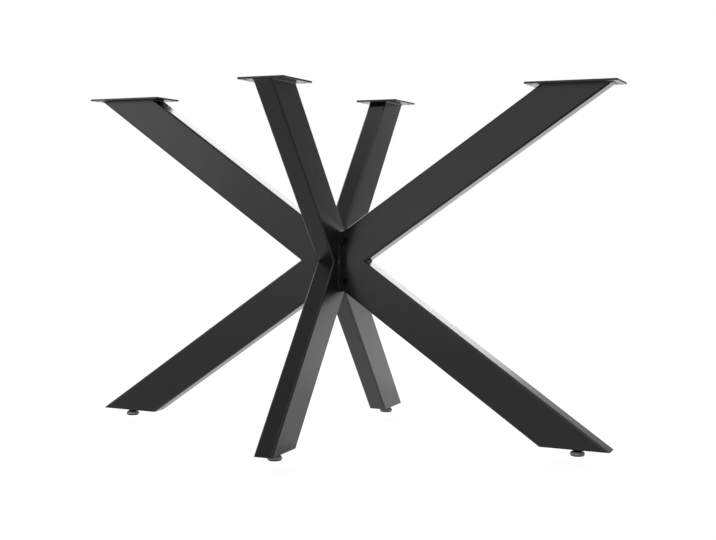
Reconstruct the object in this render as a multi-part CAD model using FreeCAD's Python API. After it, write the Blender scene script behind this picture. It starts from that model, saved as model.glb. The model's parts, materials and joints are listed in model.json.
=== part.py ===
import FreeCAD, Part
import math
import os

# Star table base. A cross frame of rectangular steel tube stands in the short direction. Two K-shaped side
# legs are bolted to its flanks in the long direction. Each upper leg end has a plate for the table top's
# screws, and each lower end a levelling foot.
#
# Millimetres. The origin is on the floor under the centre, +X to the right leg, +Y to the back leg, +Z up.

Vector = FreeCAD.Vector

# Frame
FRAME_HEIGHT = 710.0  # lower leg ends to the top of the screw plates
TUBE_DEPTH = 80.0  # tube section, measured in the upright plane of its leg
TUBE_WIDTH = 40.0  # tube section, across its leg
TUBE_WALL = 2.0
TUBE_CORNER = 4.0  # outer corner radius
LONG_END_REACH = 517.0  # centre to the middle of a side leg's lower end
SHORT_END_REACH = 277.0  # centre to the middle of the cross frame's lower end
LONG_ARM_MEET = 4.0  # how far out from the centre a side leg's two centrelines cross

# Screw plates under the table top
PLATE_THICKNESS = 4.0
PLATE_CORNER = 3.0
PLATE_EDGE_BREAK = 0.5
PLATE_HOLE = 9.0  # clearance hole for the table top's screws
PLATE_HOLE_EDGE = 12.0  # hole centre to the plate's edges
LONG_PLATE_INNER = 24.7  # how far a side leg's plate stands past its tube's end, towards the centre
LONG_PLATE_OUTER = 14.7  # the same, away from the centre
LONG_PLATE_SIDE = 25.0  # the same, to each side
SHORT_PLATE_INNER = 11.3  # the same three for the cross frame's plates
SHORT_PLATE_OUTER = 7.3
SHORT_PLATE_SIDE = 29.0

# Hub flanges, which end the side legs and bolt to the cross frame's flanks
FLANGE_THICKNESS = 6.0
FLANGE_WING = 20.0  # how far the flange stands past the tube on each side
FLANGE_CORNER = 4.0
FLANGE_EDGE_BREAK = 0.5
BOLT_EDGE = 9.0  # bolt centre to the flange's side edge
BOLT_SPACING_UP = 85.0

# Hub bolts: button heads with a hexagon socket, on plain washers
BOLT_DIAMETER = 8.0
BOLT_TIP_OUT = 2.4  # how far the thread stands past its tapped collar
BOLT_HEAD_DIAMETER = 14.0
BOLT_CROWN_DIAMETER = 7.0  # flat on top of the dome
BOLT_DOME_BULGE = 0.9
BOLT_HEAD_HEIGHT = 4.4
BOLT_HEAD_RIM = 1.0  # straight rim under the dome
BOLT_TIP_CHAMFER = 0.8
SOCKET_ACROSS = 5.0
SOCKET_DEPTH = 2.6
WASHER_DIAMETER = 16.0
WASHER_THICKNESS = 1.6
BOLT_CLEARANCE = 1.0  # flange hole over bolt diameter
TAP_CLEARANCE = 0.1  # tapped hole over thread diameter
COLLAR_WALL = 2.0  # wall of the drawn collar round each tapped hole
COLLAR_LENGTH = 4.0  # how far the collar stands into the tube

# Levelling feet
PAD_SOLE_DIAMETER = 25.0
PAD_DIAMETER = 29.5  # at the rim, where the pad is widest
PAD_RIM = 3.0  # the rim's height above the floor
PAD_TOP_DIAMETER = 24.0
PAD_HEIGHT = 8.5
PAD_SHOULDER_BULGE = 0.7
PAD_FLOOR = 2.5  # thickness under the socket
SOCKET_LIP = 2.5  # lip that holds the stud's button end
SWIVEL_CLEARANCE = 0.1
BUTTON_DIAMETER = 10.0
NECK_DIAMETER = 8.0
HEX_ACROSS = 17.0
HEX_HEIGHT = 6.0
HEX_CHAMFER = 0.8
STUD_DIAMETER = 10.0
STUD_TIP_CHAMFER = 1.0
FOOT_TRAVEL = 15.0  # how far a foot can be screwed out
THREAD_RESERVE = 3.0  # thread left above the nut when the foot is screwed out
LONG_FOOT_OUTSET = 3.0  # foot's axis, outwards from the middle of the tube end
SHORT_FOOT_OUTSET = 1.0

# End plates and nuts inside the lower leg ends
END_PLATE_THICKNESS = 4.0
END_PLATE_FIT = 0.1
END_PLATE_HOLE_CLEARANCE = 1.0
NUT_ACROSS = 17.0
NUT_HEIGHT = 8.0
NUT_CHAMFER = 0.8
THREAD_CLEARANCE = 0.1

# Heights and angles that follow from the sizes above
FOOT_HEIGHT = PAD_HEIGHT + HEX_HEIGHT
LEG_BOTTOM = FOOT_HEIGHT
PLATE_TOP = LEG_BOTTOM + FRAME_HEIGHT
PLATE_UNDERSIDE = PLATE_TOP - PLATE_THICKNESS
MIDDLE = LEG_BOTTOM + FRAME_HEIGHT / 2
LONG_SLOPE = (MIDDLE - LEG_BOTTOM) / (LONG_END_REACH - LONG_ARM_MEET)
SHORT_SLOPE = (MIDDLE - LEG_BOTTOM) / SHORT_END_REACH
LONG_ANGLE = math.degrees(math.atan(LONG_SLOPE))
SHORT_ANGLE = math.degrees(math.atan(SHORT_SLOPE))
UPPER_RISE = PLATE_UNDERSIDE - MIDDLE
LONG_CUT = TUBE_DEPTH / math.sin(math.radians(LONG_ANGLE))  # length of a tube's level end, along its leg
SHORT_CUT = TUBE_DEPTH / math.sin(math.radians(SHORT_ANGLE))
LONG_PLATE_LENGTH = LONG_PLATE_INNER + LONG_CUT + LONG_PLATE_OUTER
LONG_PLATE_WIDTH = TUBE_WIDTH + 2 * LONG_PLATE_SIDE
LONG_PLATE_REACH = LONG_ARM_MEET + UPPER_RISE / LONG_SLOPE + (LONG_PLATE_OUTER - LONG_PLATE_INNER) / 2
SHORT_PLATE_LENGTH = SHORT_PLATE_INNER + SHORT_CUT + SHORT_PLATE_OUTER
SHORT_PLATE_WIDTH = TUBE_WIDTH + 2 * SHORT_PLATE_SIDE
SHORT_PLATE_REACH = UPPER_RISE / SHORT_SLOPE + (SHORT_PLATE_OUTER - SHORT_PLATE_INNER) / 2
LONG_FOOT_REACH = LONG_END_REACH + LONG_FOOT_OUTSET
SHORT_FOOT_REACH = SHORT_END_REACH + SHORT_FOOT_OUTSET
FLANK = TUBE_WIDTH / 2
FLANGE_FACE = FLANK + FLANGE_THICKNESS
FLANGE_WIDTH = TUBE_WIDTH + 2 * FLANGE_WING
TUBE_HALF_RISE = TUBE_DEPTH / 2 / math.cos(math.radians(LONG_ANGLE))
INNER_END_RISE = TUBE_HALF_RISE + LONG_SLOPE * (FLANGE_FACE - LONG_ARM_MEET)
FLANGE_HEIGHT = 2 * INNER_END_RISE  # as high as the side leg's inner end
BOLT_SPACING_ACROSS = FLANGE_WIDTH - 2 * BOLT_EDGE
BOLT_LENGTH = WASHER_THICKNESS + FLANGE_THICKNESS + TUBE_WALL + COLLAR_LENGTH + BOLT_TIP_OUT
STUD_LENGTH = END_PLATE_THICKNESS + NUT_HEIGHT + THREAD_RESERVE + FOOT_TRAVEL

# Each leg's name and its turn about the upright axis, from +X
LEG_TURNS = {"right": 0.0, "back": 90.0, "left": 180.0, "front": 270.0}
SIDE_LEGS = ("right", "left")

X_AXIS = Vector(1, 0, 0)
Y_AXIS = Vector(0, 1, 0)
Z_AXIS = Vector(0, 0, 1)
ORIGIN = Vector(0, 0, 0)
FAR = 4 * (FRAME_HEIGHT + LONG_END_REACH)  # longer than any cut needs
TOLERANCE = 1e-6


def turned(shape, leg):
    """A copy of a shape made on the +X side, turned to its leg."""
    copy = shape.copy()
    copy.rotate(ORIGIN, Z_AXIS, LEG_TURNS[leg])
    return copy


def on_circle(radius, degrees):
    angle = math.radians(degrees)
    return Vector(radius * math.cos(angle), radius * math.sin(angle), 0)


def rectangle(length, width):
    """Closed outline in the XY plane, centred on the origin, with sharp corners."""
    x = length / 2
    y = width / 2
    return Part.makePolygon([Vector(a, b, 0) for a, b in [(x, y), (-x, y), (-x, -y), (x, -y), (x, y)]])


def rounded_rectangle(length, width, radius):
    """Closed outline in the XY plane, centred on the origin, with round corners."""
    if radius <= 0:
        return rectangle(length, width)
    corners = []
    for quarter, (side_x, side_y) in enumerate([(1, 1), (-1, 1), (-1, -1), (1, -1)]):
        centre = Vector(side_x * (length / 2 - radius), side_y * (width / 2 - radius), 0)
        corners.append([centre + on_circle(radius, 90 * quarter + step) for step in (0, 45, 90)])
    edges = []
    for corner, following in zip(corners, corners[1:] + corners[:1]):
        edges.append(Part.Arc(*corner).toShape())
        edges.append(Part.LineSegment(corner[-1], following[0]).toShape())
    return Part.Wire(edges)


def hexagon(across):
    """Hexagon outline in the XY plane, by its distance across the flats."""
    return Part.makePolygon([on_circle(across / math.sqrt(3), 60 * step) for step in range(7)])


def bulged_arc(start, stop, bulge):
    """Arc in the XZ plane from start up to stop, which bulges away from the Z axis by the given height."""
    chord = stop - start
    outwards = Vector(chord.z, 0, -chord.x).normalize()
    return Part.Arc(start, start + chord * 0.5 + outwards * bulge, stop).toShape()


def prism(outline, height):
    return Part.Face(outline).extrude(Vector(0, 0, height))


def broken_edges(plate, size):
    """A flat plate with its edges chamfered all round, top and bottom."""
    rims = [edge for edge in plate.Edges if edge.BoundBox.ZLength < TOLERANCE]
    return plate.makeChamfer(size, rims)


def revolved(points, curve=None):
    """Solid of revolution about Z from (radius, height) corners, closed by a curve or a straight line."""
    corners = [Vector(radius, 0, height) for radius, height in points]
    edges = [Part.LineSegment(a, b).toShape() for a, b in zip(corners, corners[1:])]
    edges.append(curve or Part.LineSegment(corners[-1], corners[0]).toShape())
    return Part.Face(Part.Wire(edges)).revolve(ORIGIN, Z_AXIS, 360)


def moved(shape, x=0.0, y=0.0, z=0.0):
    copy = shape.copy()
    copy.translate(Vector(x, y, z))
    return copy


def block(x_low, x_high, z_low, z_high):
    """Trimming block that is wider than any leg."""
    return Part.makeBox(x_high - x_low, FAR, z_high - z_low, Vector(x_low, -FAR / 2, z_low))


def sloping_bar(outline, angle, meet):
    """Long bar in the XZ plane whose centreline passes (meet, MIDDLE) and rises by angle towards +X."""
    bar = prism(outline, FAR)
    bar.translate(Vector(0, 0, -FAR / 2))
    bar.rotate(ORIGIN, Y_AXIS, 90 - angle)
    bar.translate(Vector(meet, 0, MIDDLE))
    return bar


def outer_bar(angle, meet):
    return sloping_bar(rounded_rectangle(TUBE_DEPTH, TUBE_WIDTH, TUBE_CORNER), angle, meet)


def inner_bar(angle, meet, gap=0.0):
    """The tube's hollow, or a piece that fits inside it with a gap all round."""
    inset = TUBE_WALL + gap
    outline = rounded_rectangle(TUBE_DEPTH - 2 * inset, TUBE_WIDTH - 2 * inset, TUBE_CORNER - inset)
    return sloping_bar(outline, angle, meet)


def tube(angle, meet):
    return outer_bar(angle, meet).cut(inner_bar(angle, meet))


def side_leg_tube(upper):
    """One arm of a side leg, mitred at mid height, cut upright at the flange and level at its end."""
    if upper:
        room = block(FLANGE_FACE, FAR, MIDDLE, PLATE_UNDERSIDE)
        return tube(LONG_ANGLE, LONG_ARM_MEET).common(room)
    room = block(FLANGE_FACE, FAR, LEG_BOTTOM, MIDDLE)
    return tube(-LONG_ANGLE, LONG_ARM_MEET).common(room)


def bolt_places():
    """Hub bolt centres on the flange, as (across, up from the middle)."""
    across = BOLT_SPACING_ACROSS / 2
    up = BOLT_SPACING_UP / 2
    return [(a, u) for a in (-across, across) for u in (-up, up)]


def along_x(shape):
    """A copy of a shape made along +Z, laid along +X."""
    copy = shape.copy()
    copy.rotate(ORIGIN, Y_AXIS, 90)
    return copy


def hub_flange():
    """Flange on the +X flank, with a clearance hole for each bolt."""
    plate = prism(rounded_rectangle(FLANGE_HEIGHT, FLANGE_WIDTH, FLANGE_CORNER), FLANGE_THICKNESS)
    plate = moved(along_x(broken_edges(plate, FLANGE_EDGE_BREAK)), FLANK, 0, MIDDLE)
    hole = along_x(Part.makeCylinder((BOLT_DIAMETER + BOLT_CLEARANCE) / 2, FLANGE_THICKNESS))
    for across, up in bolt_places():
        plate = plate.cut(moved(hole, FLANK, across, MIDDLE + up))
    return plate


def hub_bolt():
    """Bolt along +Z with its head's seat at zero and its thread below."""
    shank = BOLT_DIAMETER / 2
    head = BOLT_HEAD_DIAMETER / 2
    crown = BOLT_CROWN_DIAMETER / 2
    rim_top = Vector(head, 0, BOLT_HEAD_RIM)
    crown_edge = Vector(crown, 0, BOLT_HEAD_HEIGHT)
    outline = [
        (crown, BOLT_HEAD_HEIGHT),
        (0, BOLT_HEAD_HEIGHT),
        (0, -BOLT_LENGTH),
        (shank - BOLT_TIP_CHAMFER, -BOLT_LENGTH),
        (shank, BOLT_TIP_CHAMFER - BOLT_LENGTH),
        (shank, 0),
        (head, 0),
        (head, BOLT_HEAD_RIM),
    ]
    bolt = revolved(outline, bulged_arc(rim_top, crown_edge, BOLT_DOME_BULGE))
    socket = moved(prism(hexagon(SOCKET_ACROSS), SOCKET_DEPTH), z=BOLT_HEAD_HEIGHT - SOCKET_DEPTH)
    return bolt.cut(socket)


def washer():
    ring = Part.makeCylinder(WASHER_DIAMETER / 2, WASHER_THICKNESS)
    return ring.cut(Part.makeCylinder((BOLT_DIAMETER + BOLT_CLEARANCE) / 2, WASHER_THICKNESS))


def on_both_flanges(shape, seat):
    """Copies of a fastener at every bolt place, seated at the given distance from the centre."""
    laid = along_x(shape)
    one_side = [moved(laid, seat, across, MIDDLE + up) for across, up in bolt_places()]
    return Part.makeCompound([turned(copy, leg) for leg in SIDE_LEGS for copy in one_side])


def tapped(frame_tube):
    """Draws and taps the flank walls of a cross-frame tube where hub bolts enter it."""
    bore = (BOLT_DIAMETER + TAP_CLEARANCE) / 2
    length = TUBE_WALL + COLLAR_LENGTH
    for side in (1, -1):
        inner_end = side * (FLANK - length)
        direction = X_AXIS * side
        for across, up in bolt_places():
            place = Vector(inner_end, across, MIDDLE + up)
            wall_point = Vector(side * (FLANK - TUBE_WALL / 2), across, MIDDLE + up)
            if frame_tube.isInside(wall_point, TOLERANCE, True):
                collar = Part.makeCylinder(bore + COLLAR_WALL, length, place, direction)
                thread = Part.makeCylinder(bore, length, place, direction)
                frame_tube = frame_tube.fuse(collar).cut(thread)
    return frame_tube.removeSplitter()


def cross_frame_tubes():
    """The through tube, from front foot to back plate, and two half tubes that butt against it."""
    room = block(-FAR, FAR, LEG_BOTTOM, PLATE_UNDERSIDE)
    through = tube(SHORT_ANGLE, 0).common(room)
    seat = sloping_bar(rectangle(TUBE_DEPTH, 2 * TUBE_WIDTH), SHORT_ANGLE, 0)
    halves = tube(-SHORT_ANGLE, 0).common(room).cut(seat).Solids
    lower, upper = sorted(halves, key=lambda solid: solid.CenterOfMass.z)
    return {
        "cross_through_tube": tapped(turned(through, "back")),
        "front_upper_tube": tapped(turned(upper, "back")),
        "back_lower_tube": tapped(turned(lower, "back")),
    }


def screw_plate(length, width, reach):
    """Plate on an upper leg end, with a screw hole in each corner."""
    plate = prism(rounded_rectangle(length, width, PLATE_CORNER), PLATE_THICKNESS)
    plate = broken_edges(plate, PLATE_EDGE_BREAK)
    hole = Part.makeCylinder(PLATE_HOLE / 2, PLATE_THICKNESS)
    for x in (-1, 1):
        for y in (-1, 1):
            place = (x * (length / 2 - PLATE_HOLE_EDGE), y * (width / 2 - PLATE_HOLE_EDGE))
            plate = plate.cut(moved(hole, *place))
    return moved(plate, reach, 0, PLATE_UNDERSIDE)


def end_plate(angle, meet, foot_reach):
    """Plate welded inside a lower leg end, flush with it, with a hole for the foot's stud."""
    room = block(0, FAR, LEG_BOTTOM, LEG_BOTTOM + END_PLATE_THICKNESS)
    plate = inner_bar(-angle, meet, END_PLATE_FIT).common(room)
    hole = Part.makeCylinder((STUD_DIAMETER + END_PLATE_HOLE_CLEARANCE) / 2, END_PLATE_THICKNESS)
    return plate.cut(moved(hole, foot_reach, 0, LEG_BOTTOM))


def chamfered_hexagon(across, height, chamfer):
    """Hexagon prism with its corners turned off at both ends, as on a nut."""
    corner = across / math.sqrt(3)
    turned_off = revolved(
        [
            (0, 0),
            (corner - chamfer, 0),
            (corner, chamfer),
            (corner, height - chamfer),
            (corner - chamfer, height),
            (0, height),
        ]
    )
    return prism(hexagon(across), height).common(turned_off)


def weld_nut(foot_reach):
    """Nut welded on top of an end plate, inside the tube."""
    nut = chamfered_hexagon(NUT_ACROSS, NUT_HEIGHT, NUT_CHAMFER)
    nut = nut.cut(Part.makeCylinder((STUD_DIAMETER + THREAD_CLEARANCE) / 2, NUT_HEIGHT))
    return moved(nut, foot_reach, 0, LEG_BOTTOM + END_PLATE_THICKNESS)


def foot_pad(foot_reach):
    """Round pad with a tapered sole, a domed shoulder and an undercut socket for the stud's button end."""
    sole = PAD_SOLE_DIAMETER / 2
    rim = PAD_DIAMETER / 2
    top = PAD_TOP_DIAMETER / 2
    mouth = NECK_DIAMETER / 2 + SWIVEL_CLEARANCE
    room = BUTTON_DIAMETER / 2 + SWIVEL_CLEARANCE
    lip = PAD_HEIGHT - SOCKET_LIP
    shoulder = bulged_arc(Vector(rim, 0, PAD_RIM), Vector(top, 0, PAD_HEIGHT), PAD_SHOULDER_BULGE)
    outline = [
        (top, PAD_HEIGHT),
        (mouth, PAD_HEIGHT),
        (mouth, lip),
        (room, lip),
        (room, PAD_FLOOR),
        (0, PAD_FLOOR),
        (0, 0),
        (sole, 0),
        (rim, PAD_RIM),
    ]
    return moved(revolved(outline, shoulder), foot_reach)


def foot_stud(foot_reach):
    """Button end, neck, spanner hexagon and threaded shank, turned in one piece."""
    button = BUTTON_DIAMETER / 2
    neck = NECK_DIAMETER / 2
    shank = STUD_DIAMETER / 2
    button_low = PAD_FLOOR + SWIVEL_CLEARANCE
    button_high = PAD_HEIGHT - SOCKET_LIP - SWIVEL_CLEARANCE
    top = FOOT_HEIGHT + STUD_LENGTH
    turned_parts = revolved(
        [
            (0, button_low),
            (button, button_low),
            (button, button_high),
            (neck, button_high),
            (neck, PAD_HEIGHT),
            (shank, PAD_HEIGHT),
            (shank, top - STUD_TIP_CHAMFER),
            (shank - STUD_TIP_CHAMFER, top),
            (0, top),
        ]
    )
    hexagon_part = moved(chamfered_hexagon(HEX_ACROSS, HEX_HEIGHT, HEX_CHAMFER), z=PAD_HEIGHT)
    return moved(turned_parts.fuse(hexagon_part).removeSplitter(), foot_reach)


def build():
    """Every piece in its place, as a table of node name and shape."""
    pieces = cross_frame_tubes()
    for leg in LEG_TURNS:
        if leg in SIDE_LEGS:
            pieces[f"{leg}_upper_tube"] = turned(side_leg_tube(upper=True), leg)
            pieces[f"{leg}_lower_tube"] = turned(side_leg_tube(upper=False), leg)
            pieces[f"{leg}_hub_flange"] = turned(hub_flange(), leg)
            plate = screw_plate(LONG_PLATE_LENGTH, LONG_PLATE_WIDTH, LONG_PLATE_REACH)
            closing = end_plate(LONG_ANGLE, LONG_ARM_MEET, LONG_FOOT_REACH)
            foot_reach = LONG_FOOT_REACH
        else:
            plate = screw_plate(SHORT_PLATE_LENGTH, SHORT_PLATE_WIDTH, SHORT_PLATE_REACH)
            closing = end_plate(SHORT_ANGLE, 0, SHORT_FOOT_REACH)
            foot_reach = SHORT_FOOT_REACH
        pieces[f"{leg}_screw_plate"] = turned(plate, leg)
        pieces[f"{leg}_end_plate"] = turned(closing, leg)
        pieces[f"{leg}_weld_nut"] = turned(weld_nut(foot_reach), leg)
        pieces[f"{leg}_foot_stud"] = turned(foot_stud(foot_reach), leg)
        pieces[f"{leg}_foot_pad"] = turned(foot_pad(foot_reach), leg)
    pieces["hub_washers"] = on_both_flanges(washer(), FLANGE_FACE)
    pieces["hub_bolts"] = on_both_flanges(hub_bolt(), FLANGE_FACE + WASHER_THICKNESS)
    return pieces


os.makedirs("parts", exist_ok=True)
for name, shape in build().items():
    shape.exportStep(f"parts/{name}.step")
    print(f"{name}: {len(shape.Solids)} solid(s), {shape.Volume / 1000:.1f} cm3, valid {shape.isValid()}")
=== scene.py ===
# %% [markdown]
# # A powder-coated star table base
# The steel frame comes from the solid model and stays exactly where it is. This lesson gives it what a
# solid model leaves plain: the baked coat, the weld beads along its seams, the threads of its feet, and a
# studio. Lengths are in metres, as in the solid model. MM turns a size in millimetres into metres.

# %% Load the frame
import json
import math

import bmesh
import bpy
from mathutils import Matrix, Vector
from mathutils.geometry import convex_hull_2d


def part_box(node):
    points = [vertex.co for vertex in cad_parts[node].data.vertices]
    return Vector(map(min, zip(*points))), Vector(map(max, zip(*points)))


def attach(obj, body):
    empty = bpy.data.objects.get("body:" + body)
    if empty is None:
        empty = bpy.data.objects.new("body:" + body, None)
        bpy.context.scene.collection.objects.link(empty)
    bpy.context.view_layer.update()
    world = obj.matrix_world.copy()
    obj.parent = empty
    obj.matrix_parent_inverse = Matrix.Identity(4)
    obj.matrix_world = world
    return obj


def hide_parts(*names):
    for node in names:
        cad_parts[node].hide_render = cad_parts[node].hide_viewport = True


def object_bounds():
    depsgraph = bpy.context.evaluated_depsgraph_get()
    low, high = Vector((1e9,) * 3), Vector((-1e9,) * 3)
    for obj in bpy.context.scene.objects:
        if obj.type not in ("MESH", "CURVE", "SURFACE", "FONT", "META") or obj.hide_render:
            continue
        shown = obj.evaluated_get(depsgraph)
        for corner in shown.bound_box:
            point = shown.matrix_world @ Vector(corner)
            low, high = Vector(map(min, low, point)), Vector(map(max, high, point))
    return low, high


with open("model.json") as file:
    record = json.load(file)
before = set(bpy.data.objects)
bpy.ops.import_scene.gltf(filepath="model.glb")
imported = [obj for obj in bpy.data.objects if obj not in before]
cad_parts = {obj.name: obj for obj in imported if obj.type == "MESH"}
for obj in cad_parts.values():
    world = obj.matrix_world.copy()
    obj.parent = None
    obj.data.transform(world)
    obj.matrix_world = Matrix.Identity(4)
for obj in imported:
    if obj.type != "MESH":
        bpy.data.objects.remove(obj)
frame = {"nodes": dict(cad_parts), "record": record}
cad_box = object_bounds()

MM = 0.001
nodes = frame["nodes"]
print("pieces in the frame:", len(nodes), "size:", [round(v, 3) for v in cad_box[1] - cad_box[0]])

# %% [markdown]
# ## Two small helpers
# Colours are written as the hex values a paint chart uses, and shaders want linear light, so one function
# turns one into the other. A second function adds any node, sets it up and links it, which keeps each
# material or tree below readable from top to bottom.

# %% Colour and node helpers
def linear(hex_colour):
    """The linear RGBA of a colour that is written as sRGB hex."""
    shares = [int(hex_colour[start:start + 2], 16) / 255 for start in (1, 3, 5)]
    return [c / 12.92 if c <= 0.04045 else ((c + 0.055) / 1.055) ** 2.4 for c in shares] + [1.0]


def add(tree, kind, inputs=None, **settings):
    """Adds a node with its settings. Each input takes a plain value or another node's output."""
    node = tree.nodes.new(kind)
    for name, value in settings.items():
        setattr(node, name, value)
    for name, value in (inputs or {}).items():
        if isinstance(value, bpy.types.NodeSocket):
            tree.links.new(value, node.inputs[name])
        else:
            node.inputs[name].default_value = value
    return node


print("middle grey in linear light:", round(linear("#808080")[0], 3))

# %% [markdown]
# ## A start for each material
# Every finish on the object starts from one main shader and from the coordinates of the piece itself, so a
# pattern stays on the piece when it moves. The scale of a pattern is worked out from its real size.

# %% Material helpers
def bare_material(name):
    """A material without nodes, and its tree."""
    material = bpy.data.materials.new(name)
    material.use_nodes = True
    material.node_tree.nodes.clear()
    return material, material.node_tree


def new_finish(name):
    """A material with its tree, its main shader and the coordinates of the piece."""
    material, tree = bare_material(name)
    shader = add(tree, "ShaderNodeBsdfPrincipled")
    add(tree, "ShaderNodeOutputMaterial", {"Surface": shader.outputs["BSDF"]})
    place = add(tree, "ShaderNodeTexCoord").outputs["Object"]
    return material, tree, shader, place


def per_metre(size_mm):
    """The scale of a texture whose features are that many millimetres wide."""
    return 1 / (size_mm * MM)


print("a pattern of 1 mm has the scale", round(per_metre(1)))

# %% [markdown]
# ## The coat of the frame
# The tubes and plates are steel with a satin black polyester powder baked on. Powder melts and flows, but
# never quite flat: it leaves a fine ripple called orange peel. The eye gets a near-black body, a soft wide
# gloss that brightens where a face is seen edge-on, and a slight grain in that gloss. A plain black would
# give none of it. Two noises do: a slow one for colour and gloss, and a fine one for the ripple.

# %% Powder-coated steel
COAT_DARK = "#0d0d0e"
COAT_LIGHT = "#121213"
COAT_IOR = 1.5  # polyester resin
COAT_ROUGHNESS = (0.20, 0.28)
FLOW_MM = 60.0  # slow change in how the powder flowed out
FLOW_DETAIL = 3.0
ORANGE_PEEL_MM = 3.0  # real peel is about 1.5 mm, drawn twice as coarse so that it shows
ORANGE_PEEL_HEIGHT_MM = 0.012
ORANGE_PEEL_DETAIL = 1.0


def powder_coated_steel():
    """Near-black, with a soft gloss that wavers where the powder flowed."""
    material, tree, shader, place = new_finish("powder_coated_steel")
    flow = add(tree, "ShaderNodeTexNoise", {
        "Vector": place, "Scale": per_metre(FLOW_MM), "Detail": FLOW_DETAIL})
    peel = add(tree, "ShaderNodeTexNoise", {
        "Vector": place, "Scale": per_metre(ORANGE_PEEL_MM), "Detail": ORANGE_PEEL_DETAIL})
    tint = add(tree, "ShaderNodeMix", {
        "Factor": flow.outputs["Fac"], "A": linear(COAT_DARK), "B": linear(COAT_LIGHT)}, data_type="RGBA")
    gloss = add(tree, "ShaderNodeMapRange", {
        "Value": flow.outputs["Fac"], "To Min": COAT_ROUGHNESS[0], "To Max": COAT_ROUGHNESS[1]})
    ripple = add(tree, "ShaderNodeBump", {
        "Height": peel.outputs["Fac"], "Distance": ORANGE_PEEL_HEIGHT_MM * MM})
    tree.links.new(tint.outputs["Result"], shader.inputs["Base Color"])
    tree.links.new(gloss.outputs["Result"], shader.inputs["Roughness"])
    tree.links.new(ripple.outputs["Normal"], shader.inputs["Normal"])
    shader.inputs["IOR"].default_value = COAT_IOR
    return material


coat = powder_coated_steel()
print("made", coat.name)

# %% [markdown]
# ## Fasteners
# The hub bolts have a black oxide skin, which is thin enough to let the steel glint through. The studs of
# the feet are zinc plated and dyed black, a little smoother. The nuts inside the legs are bare. All three
# are metals with a fine grain, so one function makes them from a short table.

# %% Metals
METALS = {  # dark and light colour, roughness, width of the grain in millimetres
    "black_oxide_steel": ("#1b1b1d", "#262628", (0.34, 0.46), 1.2),
    "black_zinc_steel": ("#26272a", "#34353a", (0.26, 0.36), 1.6),
    "bare_steel": ("#8c8d90", "#a5a6a8", (0.34, 0.44), 2.0),
}
GRAIN_DETAIL = 2.0


def metal(name):
    """A metal whose colour and gloss follow its grain, which breaks up the glint."""
    dark, light, roughness, grain_mm = METALS[name]
    material, tree, shader, place = new_finish(name)
    grain = add(tree, "ShaderNodeTexNoise", {
        "Vector": place, "Scale": per_metre(grain_mm), "Detail": GRAIN_DETAIL})
    tint = add(tree, "ShaderNodeMix", {
        "Factor": grain.outputs["Fac"], "A": linear(dark), "B": linear(light)}, data_type="RGBA")
    gloss = add(tree, "ShaderNodeMapRange", {
        "Value": grain.outputs["Fac"], "To Min": roughness[0], "To Max": roughness[1]})
    tree.links.new(tint.outputs["Result"], shader.inputs["Base Color"])
    tree.links.new(gloss.outputs["Result"], shader.inputs["Roughness"])
    shader.inputs["Metallic"].default_value = 1.0
    return material


metals = {name: metal(name) for name in METALS}
print("made", list(metals))

# %% [markdown]
# ## Foot pads
# The pads are grey moulded nylon with the fine spark-eroded grain of their mould. Their lowest few
# millimetres are painted black and dull, as a soft sole: painted shade that stands for the contact
# shade under the rim. Pad and sole are one solid, so the material tells them apart by height.

# %% Moulded nylon, with painted shade at the sole
NYLON_DARK = "#868688"
NYLON_LIGHT = "#929294"
NYLON_IOR = 1.53
NYLON_ROUGHNESS = 0.22
NYLON_GRAIN_MM = 0.8  # real grain is about 0.2 mm, drawn coarser so that it shows
NYLON_GRAIN_HEIGHT_MM = 0.01
# painted shade: the sole band is black to stand for the contact shade under the pad's rim
SOLE_SHADE_COLOUR = "#161617"
SOLE_ROUGHNESS = 0.85  # soft rubber
SOLE_SHADE_MM = 3.0  # height of the sole band that is painted dark as shade under the pad's rim


def moulded_nylon():
    """Grey with a soft sheen, and black and dull below the top of the sole, as painted shade."""
    material, tree, shader, place = new_finish("moulded_nylon")
    grain = add(tree, "ShaderNodeTexNoise", {
        "Vector": place, "Scale": per_metre(NYLON_GRAIN_MM), "Detail": GRAIN_DETAIL})
    tint = add(tree, "ShaderNodeMix", {
        "Factor": grain.outputs["Fac"],
        "A": linear(NYLON_DARK), "B": linear(NYLON_LIGHT)}, data_type="RGBA")
    height = add(tree, "ShaderNodeSeparateXYZ", {"Vector": place}).outputs["Z"]
    # painted shade: below the top of the sole the pad is drawn black and dull
    sole_shade = add(tree, "ShaderNodeMath", {0: height, 1: SOLE_SHADE_MM * MM}, operation="LESS_THAN").outputs[0]
    both = add(tree, "ShaderNodeMix", {
        "Factor": sole_shade, "A": tint.outputs["Result"], "B": linear(SOLE_SHADE_COLOUR)}, data_type="RGBA")
    gloss = add(tree, "ShaderNodeMapRange", {
        "Value": sole_shade, "To Min": NYLON_ROUGHNESS, "To Max": SOLE_ROUGHNESS})
    ripple = add(tree, "ShaderNodeBump", {
        "Height": grain.outputs["Fac"], "Distance": NYLON_GRAIN_HEIGHT_MM * MM})
    tree.links.new(both.outputs["Result"], shader.inputs["Base Color"])
    tree.links.new(gloss.outputs["Result"], shader.inputs["Roughness"])
    tree.links.new(ripple.outputs["Normal"], shader.inputs["Normal"])
    shader.inputs["IOR"].default_value = NYLON_IOR
    return material


nylon = moulded_nylon()
print("made", nylon.name)

# %% [markdown]
# ## Dress the frame
# The record of the solid model says which slot each piece belongs to. A table from slot to finish is then
# enough to dress all of them.

# %% Put the finishes on
FINISHES = {
    "frame_coat": coat,
    "black_fasteners": metals["black_oxide_steel"],
    "plated_steel": metals["black_zinc_steel"],
    "bare_steel": metals["bare_steel"],
    "foot_plastic": nylon,
}
for row in frame["record"]["subparts"]:
    materials = nodes[row["node"]].data.materials
    materials.clear()
    materials.append(FINISHES[row["material_slot"]])
print("finishes:", {slot: material.name for slot, material in FINISHES.items()})

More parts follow.
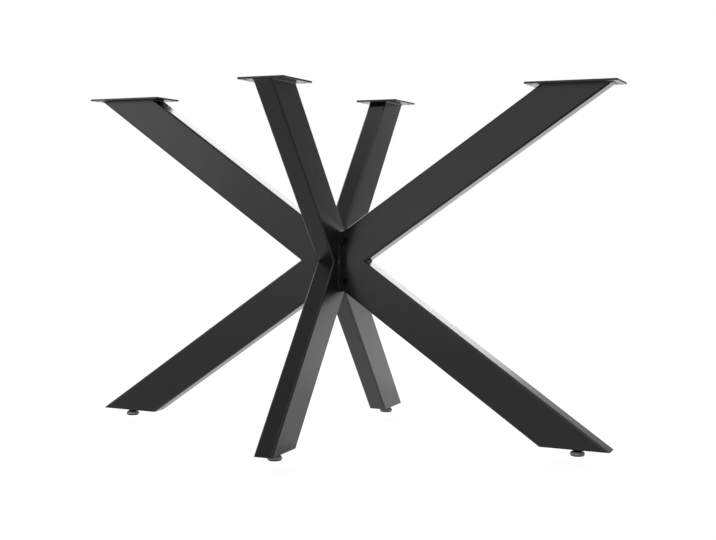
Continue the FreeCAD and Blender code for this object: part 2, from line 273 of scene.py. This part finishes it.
# %% [markdown]
# ## Weld beads
# Every tube is welded. Most beads are ground flush before the coat goes on, as the photograph shows at the
# hub, but those under the plates and in the corners of the side legs are out of the grinder's reach. Their
# seams are read from the tubes, so a bead always lies where two pieces really meet.

# %% Find the seams
TUBES_UNDER_PLATES = ("right_upper_tube", "left_upper_tube", "front_upper_tube", "cross_through_tube")
TUBE_CORNER_MM = 4.0
SAME_LEVEL = 0.02 * MM  # points closer than this in height lie on one level


def points_at(node, height):
    """The points of a node on one level."""
    points = [vertex.co.copy() for vertex in nodes[node].data.vertices]
    return [p for p in points if abs(p.z - height) < SAME_LEVEL]


def top_outline(node):
    """The outer outline of a tube's level upper end, as a closed ring of points."""
    ring = points_at(node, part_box(node)[1].z)
    return [ring[i] for i in convex_hull_2d([p.xy for p in ring])]


def crease(leg, outwards):
    """A line across a side leg's tubes, in the corner between its two arms."""
    low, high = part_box(f"{leg}_upper_tube")
    corner = max(points_at(f"{leg}_upper_tube", low.z), key=lambda p: outwards * p.x)
    inset = TUBE_CORNER_MM * MM
    return [Vector((corner.x, y, low.z)) for y in (low.y + inset, high.y - inset)]


rings = [top_outline(tube) for tube in TUBES_UNDER_PLATES]
creases = [crease("right", 1), crease("left", -1)]
print("seams:", len(rings), "rings under plates,", len(creases), "creases")

# %% [markdown]
# ## Node trees
# Beads and threads follow a rule, so node trees make them. Each tree gets its sizes as named inputs and
# ends in real geometry with a material, and its result is kept as a plain mesh.

# %% Helpers for node trees
def new_tree(name, sizes):
    """A node tree with named sizes as inputs, and the outputs of its first node."""
    tree = bpy.data.node_groups.new(name, "GeometryNodeTree")
    tree.interface.new_socket("Geometry", in_out="INPUT", socket_type="NodeSocketGeometry")
    tree.interface.new_socket("Geometry", in_out="OUTPUT", socket_type="NodeSocketGeometry")
    for label in sizes:
        tree.interface.new_socket(label, in_out="INPUT", socket_type="NodeSocketFloat")
    return tree, add(tree, "NodeGroupInput").outputs


def end_tree(tree, geometry, material):
    """Ends a tree in real geometry with its material on it."""
    real = add(tree, "GeometryNodeRealizeInstances", {"Geometry": geometry})
    dressed = add(tree, "GeometryNodeSetMaterial", {
        "Geometry": real.outputs["Geometry"], "Material": material})
    add(tree, "NodeGroupOutput", {"Geometry": dressed.outputs["Geometry"]})


def shaped(piece, tree, sizes):
    """Runs a tree on a piece with the given sizes and leaves the result as its plain mesh."""
    modifier = piece.modifiers.new(tree.name, "NODES")
    modifier.node_group = tree
    for item in tree.interface.items_tree:
        if item.name in sizes:
            modifier[item.identifier] = sizes[item.name]
    evaluated = piece.evaluated_get(bpy.context.evaluated_depsgraph_get())
    mesh = bpy.data.meshes.new_from_object(evaluated)
    piece.modifiers.clear()
    piece.data = mesh
    return piece


print("trees before the first bead:", len(bpy.data.node_groups))

# %% [markdown]
# A bead could be drawn by hand as a tube, but a tree that sweeps a round section along any seam lets all of
# them share one form. It takes a seam drawn as plain edges, makes a curve of them, divides it finely enough
# for the ripple that the torch leaves, and sweeps a circle whose scale follows the ripple. An open bead
# closes to a round end, as the molten metal does where the torch lifts off.

# %% Weld bead tree
STEPS_PER_RIPPLE = 4
BEAD_SIDES = 12
POLE_GAP_MM = 0.01  # points closer than this become one, which closes the ends of a bead


def bead_tree():
    tree, given = new_tree("weld_bead", ("Radius", "Ripple pitch", "Ripple share"))
    curve = add(tree, "GeometryNodeMeshToCurve", {"Mesh": given["Geometry"]})
    step = add(tree, "ShaderNodeMath", {
        0: given["Ripple pitch"], 1: STEPS_PER_RIPPLE}, operation="DIVIDE")
    fine = add(tree, "GeometryNodeResampleCurve", {
        "Curve": curve.outputs["Curve"], "Length": step.outputs[0]}, mode="LENGTH")
    along = add(tree, "GeometryNodeSplineParameter").outputs["Length"]
    whole = add(tree, "GeometryNodeSplineLength").outputs["Length"]
    # the ripple: a sine along the seam, around one
    turns = add(tree, "ShaderNodeMath", {0: along, 1: given["Ripple pitch"]}, operation="DIVIDE")
    angle = add(tree, "ShaderNodeMath", {0: turns.outputs[0], 1: math.tau}, operation="MULTIPLY")
    wave = add(tree, "ShaderNodeMath", {0: angle.outputs[0]}, operation="SINE")
    swell = add(tree, "ShaderNodeMath", {
        0: wave.outputs[0], 1: given["Ripple share"], 2: 1.0}, operation="MULTIPLY_ADD")
    # the round end: a quarter circle over the last radius of an open seam
    rest = add(tree, "ShaderNodeMath", {0: whole, 1: along}, operation="SUBTRACT")
    to_end = add(tree, "ShaderNodeMath", {0: along, 1: rest.outputs[0]}, operation="MINIMUM")
    share = add(tree, "ShaderNodeMath", {
        0: to_end.outputs[0], 1: given["Radius"]}, operation="DIVIDE", use_clamp=True)
    from_centre = add(tree, "ShaderNodeMath", {0: 1.0, 1: share.outputs[0]}, operation="SUBTRACT")
    squared = add(tree, "ShaderNodeMath", {0: from_centre.outputs[0], 1: 2.0}, operation="POWER")
    height_squared = add(tree, "ShaderNodeMath", {0: 1.0, 1: squared.outputs[0]}, operation="SUBTRACT")
    dome = add(tree, "ShaderNodeMath", {0: height_squared.outputs[0]}, operation="SQRT")
    ring = add(tree, "GeometryNodeInputSplineCyclic").outputs["Cyclic"]
    end = add(tree, "ShaderNodeMath", {0: dome.outputs[0], 1: ring}, operation="MAXIMUM")
    scale = add(tree, "ShaderNodeMath", {0: swell.outputs[0], 1: end.outputs[0]}, operation="MULTIPLY")
    section = add(tree, "GeometryNodeCurvePrimitiveCircle", {
        "Resolution": BEAD_SIDES, "Radius": given["Radius"]})
    bead = add(tree, "GeometryNodeCurveToMesh", {
        "Curve": fine.outputs["Curve"], "Profile Curve": section.outputs["Curve"],
        "Scale": scale.outputs[0], "Fill Caps": True})
    closed = add(tree, "GeometryNodeMergeByDistance", {
        "Geometry": bead.outputs["Mesh"], "Distance": POLE_GAP_MM * MM})
    smooth = add(tree, "GeometryNodeSetShadeSmooth", {"Geometry": closed.outputs["Geometry"]})
    end_tree(tree, smooth.outputs["Geometry"], coat)
    return tree


beads = bead_tree()
print(beads.name, len(beads.nodes), "nodes")

# %% [markdown]
# The seams under the plates are closed rings with a small bead. The creases are open lines with a larger
# one, because the corner between two tubes takes more metal.

# %% Sweep the beads
PLATE_BEAD_MM = 1.6
CREASE_BEAD_MM = 3.2
RIPPLE_PITCH_MM = 2.2
RIPPLE_SHARE = 0.07  # of the bead's radius


def into_scene(name, data):
    """A new object in the scene that holds a mesh, a lamp or a camera."""
    thing = bpy.data.objects.new(name, data)
    bpy.context.scene.collection.objects.link(thing)
    return thing


def seam_piece(name, paths, closed):
    """A piece that holds the seams as plain edges."""
    corners = []
    edges = []
    for path in paths:
        first = len(corners)
        corners += path
        edges += [(first + i, first + i + 1) for i in range(len(path) - 1)]
        if closed:
            edges.append((first + len(path) - 1, first))
    mesh = bpy.data.meshes.new(name)
    mesh.from_pydata(corners, edges, [])
    return into_scene(name, mesh)


for name, paths, closed, radius_mm in (
    ("plate_weld_beads", rings, True, PLATE_BEAD_MM),
    ("crease_weld_beads", creases, False, CREASE_BEAD_MM),
):
    piece = shaped(seam_piece(name, paths, closed), beads, {
        "Radius": radius_mm * MM, "Ripple pitch": RIPPLE_PITCH_MM * MM, "Ripple share": RIPPLE_SHARE})
    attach(piece, "frame")
    print(name, len(piece.data.polygons), "faces")

# %% [markdown]
# ## Threads of the feet
# Each foot turns on a stud with a right-hand thread of 1.5 mm pitch, which shows when the foot is screwed
# out. A swept helix would need a core and a seam between them. Here a plain cylinder is divided finely and
# each of its points is moved in by where it lies along the turn, which gives one closed skin.

# %% Thread tree
THREAD_SIDES = 48
THREAD_FLAT = 0.16  # share of the pitch that is flat at crest and root
HALF_PITCH = 0.5  # from crest to root, as a share of the pitch


def thread_tree():
    sizes = ("Radius", "Length", "Pitch", "Depth", "Runout", "Rows", "X", "Y", "Z")
    tree, given = new_tree("stud_thread", sizes)
    rod = add(tree, "GeometryNodeMeshCylinder", {
        "Vertices": THREAD_SIDES, "Side Segments": given["Rows"],
        "Radius": given["Radius"], "Depth": given["Length"]})
    spot = add(tree, "GeometryNodeInputPosition").outputs[0]
    parts = add(tree, "ShaderNodeSeparateXYZ", {0: spot}).outputs
    # the groove: a flattened zigzag over height less turn, which winds it round the rod
    angle = add(tree, "ShaderNodeMath", {0: parts["Y"], 1: parts["X"]}, operation="ARCTAN2")
    turn = add(tree, "ShaderNodeMath", {0: angle.outputs[0], 1: math.tau}, operation="DIVIDE")
    rise = add(tree, "ShaderNodeMath", {0: parts["Z"], 1: given["Pitch"]}, operation="DIVIDE")
    phase = add(tree, "ShaderNodeMath", {0: rise.outputs[0], 1: turn.outputs[0]}, operation="SUBTRACT")
    wave = add(tree, "ShaderNodeMath", {0: phase.outputs[0], 1: HALF_PITCH}, operation="PINGPONG")
    groove = add(tree, "ShaderNodeMapRange", {
        "Value": wave.outputs[0], "From Min": THREAD_FLAT / 2, "From Max": HALF_PITCH - THREAD_FLAT / 2})
    # the runout: the groove fades towards both ends of the rod
    half = add(tree, "ShaderNodeMath", {0: given["Length"], 1: 0.5}, operation="MULTIPLY")
    height = add(tree, "ShaderNodeMath", {0: parts["Z"]}, operation="ABSOLUTE")
    to_end = add(tree, "ShaderNodeMath", {0: half.outputs[0], 1: height.outputs[0]}, operation="SUBTRACT")
    fade = add(tree, "ShaderNodeMath", {
        0: to_end.outputs[0], 1: given["Runout"]}, operation="DIVIDE", use_clamp=True)
    cut = add(tree, "ShaderNodeMath", {0: groove.outputs[0], 1: fade.outputs[0]}, operation="MULTIPLY")
    deep = add(tree, "ShaderNodeMath", {0: cut.outputs[0], 1: given["Depth"]}, operation="MULTIPLY")
    share = add(tree, "ShaderNodeMath", {0: deep.outputs[0], 1: given["Radius"]}, operation="DIVIDE")
    keep = add(tree, "ShaderNodeMath", {0: 1.0, 1: share.outputs[0]}, operation="SUBTRACT")
    inwards = add(tree, "ShaderNodeCombineXYZ", {"X": keep.outputs[0], "Y": keep.outputs[0], "Z": 1.0})
    cut_spot = add(tree, "ShaderNodeVectorMath", {0: spot, 1: inwards.outputs[0]}, operation="MULTIPLY")
    centre = add(tree, "ShaderNodeCombineXYZ", {"X": given["X"], "Y": given["Y"], "Z": given["Z"]})
    threaded = add(tree, "GeometryNodeSetPosition", {
        "Geometry": rod.outputs["Mesh"], "Position": cut_spot.outputs[0], "Offset": centre.outputs[0]})
    both = add(tree, "GeometryNodeJoinGeometry")
    tree.links.new(given["Geometry"], both.inputs[0])
    tree.links.new(threaded.outputs["Geometry"], both.inputs[0])
    end_tree(tree, both.outputs["Geometry"], FINISHES["plated_steel"])
    return tree


threads = thread_tree()
print(threads.name, len(threads.nodes), "nodes")

# %% [markdown]
# The button, the neck and the spanner hexagon of each stud stay as the solid model has them. A copy of the
# stud is cut off just above its hexagon, and the thread stands on it in line with the nut in the leg.

# %% Threaded studs
LEGS = ("right", "back", "left", "front")
STUD_MM = 10.0  # outer diameter of the thread
THREAD_PITCH_MM = 1.5
THREAD_DEPTH_MM = 0.92
THREAD_RUNOUT_MM = 1.5  # length over which the thread fades at each end
THREAD_STEPS = 10  # rows of points in one pitch
COLLAR_MM = 0.6  # plain collar between hexagon and thread
SAME_POINT_MM = 0.001  # corners of the loose triangles that are closer than this are one
SHARP_EDGE = math.radians(32)


def stud_without_shank(leg, cut_height):
    """A copy of the stud's solid, cut off just above its hexagon and closed there."""
    skin = bmesh.new()
    skin.from_mesh(nodes[f"{leg}_foot_stud"].data)
    bmesh.ops.remove_doubles(skin, verts=skin.verts, dist=SAME_POINT_MM * MM)
    everything = skin.verts[:] + skin.edges[:] + skin.faces[:]
    bmesh.ops.bisect_plane(
        skin, geom=everything, plane_co=(0, 0, cut_height), plane_no=(0, 0, 1), clear_outer=True)
    bmesh.ops.holes_fill(skin, edges=[edge for edge in skin.edges if edge.is_boundary])
    mesh = bpy.data.meshes.new(f"{leg}_threaded_stud")
    skin.to_mesh(mesh)
    skin.free()
    return into_scene(mesh.name, mesh)


for leg in LEGS:
    nut_low, nut_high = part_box(f"{leg}_weld_nut")
    axis = (nut_low + nut_high) / 2
    leg_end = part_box(f"{leg}_end_plate")[0].z
    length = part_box(f"{leg}_foot_stud")[1].z - leg_end
    piece = shaped(stud_without_shank(leg, leg_end + COLLAR_MM * MM), threads, {
        "Radius": STUD_MM / 2 * MM, "Length": length,
        "Pitch": THREAD_PITCH_MM * MM, "Depth": THREAD_DEPTH_MM * MM, "Runout": THREAD_RUNOUT_MM * MM,
        "Rows": length / (THREAD_PITCH_MM * MM) * THREAD_STEPS,
        "X": axis.x, "Y": axis.y, "Z": leg_end + length / 2})
    piece.data.shade_smooth()
    piece.data.set_sharp_from_angle(angle=SHARP_EDGE)
    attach(piece, f"{leg}_foot_screw")
    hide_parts(f"{leg}_foot_stud")
    print(piece.name, len(piece.data.polygons), "faces")

# %% [markdown]
# ## Floor
# The base stands over a white paper sweep, which is matt and catches the object's own shadow. The sweep
# lies as low as the feet reach when they are screwed out, because the frame keeps its place and the feet
# move down. What the camera and the reflections see of it is lifted to white by asking what kind of ray
# arrives, so the background is white without any more light on the black steel.

# %% White sweep
FOOT_TRAVEL_MM = 15.0  # how far a foot screws out
FLOOR_GAP_MM = 0.5  # between the sweep and a foot that is screwed out
FLOOR_LEVEL = -(FOOT_TRAVEL_MM + FLOOR_GAP_MM) * MM
FLOOR_WIDTH = 24.0
FLOOR_COLOUR = "#f4f4f4"
FLOOR_WHITENESS = 0.80  # share of plain white in what is seen of the floor
FLOOR_GLOW = 1.13  # level of that white, just enough to make up for the matt share
WHITE = (1.0, 1.0, 1.0, 1.0)


def seen_ray(tree):
    """One for rays that show the background: from the camera, in gloss and through glass."""
    path = add(tree, "ShaderNodeLightPath").outputs
    first = add(tree, "ShaderNodeMath", {
        0: path["Is Camera Ray"], 1: path["Is Glossy Ray"]}, operation="MAXIMUM")
    return add(tree, "ShaderNodeMath", {
        0: first.outputs[0], 1: path["Is Transmission Ray"]}, operation="MAXIMUM").outputs[0]


def flat_sheet(name, material, width, depth):
    """A rectangle with its centre at the origin."""
    corners = [(width / 2 * x, depth / 2 * y, 0) for x, y in ((-1, -1), (1, -1), (1, 1), (-1, 1))]
    mesh = bpy.data.meshes.new(name)
    mesh.from_pydata(corners, [], [(0, 1, 2, 3)])
    mesh.materials.append(material)
    return into_scene(name, mesh)


def sweep_paper():
    """Matt white that looks plain white, with a share left to show the shadow."""
    material, tree = bare_material("white_sweep_paper")
    matt = add(tree, "ShaderNodeBsdfDiffuse", {"Color": linear(FLOOR_COLOUR)})
    glow = add(tree, "ShaderNodeEmission", {"Color": WHITE, "Strength": FLOOR_GLOW})
    share = add(tree, "ShaderNodeMath", {0: seen_ray(tree), 1: FLOOR_WHITENESS}, operation="MULTIPLY")
    both = add(tree, "ShaderNodeMixShader", {0: share.outputs[0], 1: matt.outputs[0], 2: glow.outputs[0]})
    add(tree, "ShaderNodeOutputMaterial", {"Surface": both.outputs[0]})
    return material


floor = flat_sheet("floor", sweep_paper(), FLOOR_WIDTH, FLOOR_WIDTH)
floor.location.z = FLOOR_LEVEL
print("floor", FLOOR_WIDTH, "m wide, at height", round(FLOOR_LEVEL, 4))

# %% [markdown]
# ## Room
# The room gives a soft light from all sides. It is dimmer as a light than it looks, in the same way as the
# floor, so that the lamps can still shape the object.

# %% White room
ROOM_LIGHT = 0.55  # level of the light that the room gives
ROOM_SEEN = 1.0  # level at which it is seen, which is white


def white_room():
    world = bpy.data.worlds.new("white_room")
    world.use_nodes = True
    tree = world.node_tree
    tree.nodes.clear()
    dim = add(tree, "ShaderNodeBackground", {"Color": WHITE, "Strength": ROOM_LIGHT})
    bright = add(tree, "ShaderNodeBackground", {"Color": WHITE, "Strength": ROOM_SEEN})
    both = add(tree, "ShaderNodeMixShader", {0: seen_ray(tree), 1: dim.outputs[0], 2: bright.outputs[0]})
    add(tree, "ShaderNodeOutputWorld", {"Surface": both.outputs[0]})
    return world


bpy.context.scene.world = white_room()
print("room light", ROOM_LIGHT)

# %% [markdown]
# ## Lamps
# A large soft box high behind the base draws the bright line along every face that is seen edge-on. A
# second one on the left lights the round corners of the tubes, and one in front keeps the broad faces
# readable. All are wide, so that the satin coat shows no hard spot.

# %% Soft boxes
HUB = Vector((0.0, 0.0, (cad_box[0].z + cad_box[1].z) / 2))
SOFT_BOXES = {  # place, width, height, brightness of its face
    "back_soft_box": ((-0.60, 2.6, 1.75), 2.4, 1.7, 2.9),
    "left_soft_box": ((-2.3, 0.7, 2.45), 3.0, 1.4, 3.2),
    "front_soft_box": ((-2.35, -2.65, 0.95), 1.0, 1.0, 1.0),
}


def put_up(thing, place, aim):
    """Puts a lamp or a card in its place, turned to its aim and not seen by the camera."""
    thing.location = place
    thing.rotation_euler = aim.to_track_quat("-Z", "Y").to_euler()
    thing.visible_camera = False


for name, (place, width, height, brightness) in SOFT_BOXES.items():
    light = bpy.data.lights.new(name, "AREA")
    light.shape = "RECTANGLE"
    light.size = width
    light.size_y = height
    light.energy = brightness * width * height * math.pi  # a larger box keeps its brightness
    put_up(into_scene(name, light), place, HUB - Vector(place))
    print(name, round(light.energy, 1), "W")

# %% [markdown]
# ## Cards
# A gloss shows whatever it faces, so a photographer shapes a black thing with what it reflects, and less
# with the light that falls on it. That is done here with light and dark cards. Only gloss sees them: they
# light nothing matt, cast no shadow and don't show in the picture.

# %% Light and dark cards
UP = Vector((0.0, 0.0, 1.0))
UPRIGHT_CARDS = {  # place, width, height, level of what it shows
    "right_back_card": ((1.55, 2.3, 1.0), 1.7, 1.5, 0.25),
    "ceiling_card": ((-1.45, -1.42, 2.5), 2.6, 2.6, 0.33),
    "front_card": ((-1.0, -3.2, 0.35), 0.9, 0.6, 1.3),
    "right_card": ((2.4, -0.3, 1.1), 2.4, 2.0, 0.15),
}
FLOOR_CARDS = {  # place with its height above the floor, width, depth, level of what it shows
    "right_floor_card": ((1.5, -0.5, 0.004), 1.9, 2.2, 0.25),
    "front_floor_card": ((-0.9, -2.6, 0.002), 6.0, 5.0, 0.60),
    "back_floor_card": ((0.1, 1.9, 0.002), 2.6, 2.4, 1.4),
}


def card(name, width, height, level):
    """A sheet that only gloss sees, at one level all over."""
    material, tree = bare_material(name)
    glow = add(tree, "ShaderNodeEmission", {"Color": WHITE, "Strength": level})
    add(tree, "ShaderNodeOutputMaterial", {"Surface": glow.outputs[0]})
    sheet = flat_sheet(name, material, width, height)
    sheet.visible_shadow = False
    sheet.visible_diffuse = False
    return sheet


for name, (place, width, height, level) in UPRIGHT_CARDS.items():
    put_up(card(name, width, height, level), place, HUB - Vector(place))
    print(name, "shows", level)
for name, (place, width, depth, level) in FLOOR_CARDS.items():
    put_up(card(name, width, depth, level), Vector(place) + FLOOR_LEVEL * UP, UP)
    print(name, "shows", level)

# %% [markdown]
# ## Camera
# The place and the lens come from fitting the straight edges of the tubes in the photograph, so that the
# legs cross where they cross there.

# %% Camera at the photograph's angle
CAMERA_PLACE = (1.0260, -2.1996, 0.4985)
CAMERA_TURN = 23.9225  # degrees to the left of +Y
CAMERA_TILT = -3.515  # degrees up from level, so it looks slightly down
CAMERA_ROLL = -0.10  # degrees about its line of sight
CAMERA_LENS_MM = 57.70
SENSOR_MM = 36.0
LEVEL_VIEW = 90.0  # turn about X that makes a camera look at the horizon

view = bpy.data.cameras.new("camera")
view.sensor_fit = "HORIZONTAL"
view.sensor_width = SENSOR_MM
view.lens = CAMERA_LENS_MM
camera = into_scene("camera", view)
camera.location = CAMERA_PLACE
camera.rotation_euler = [math.radians(a) for a in (LEVEL_VIEW + CAMERA_TILT, CAMERA_ROLL, CAMERA_TURN)]
bpy.context.scene.camera = camera
bpy.context.scene.view_settings.view_transform = "Standard"
print("camera at", CAMERA_PLACE)
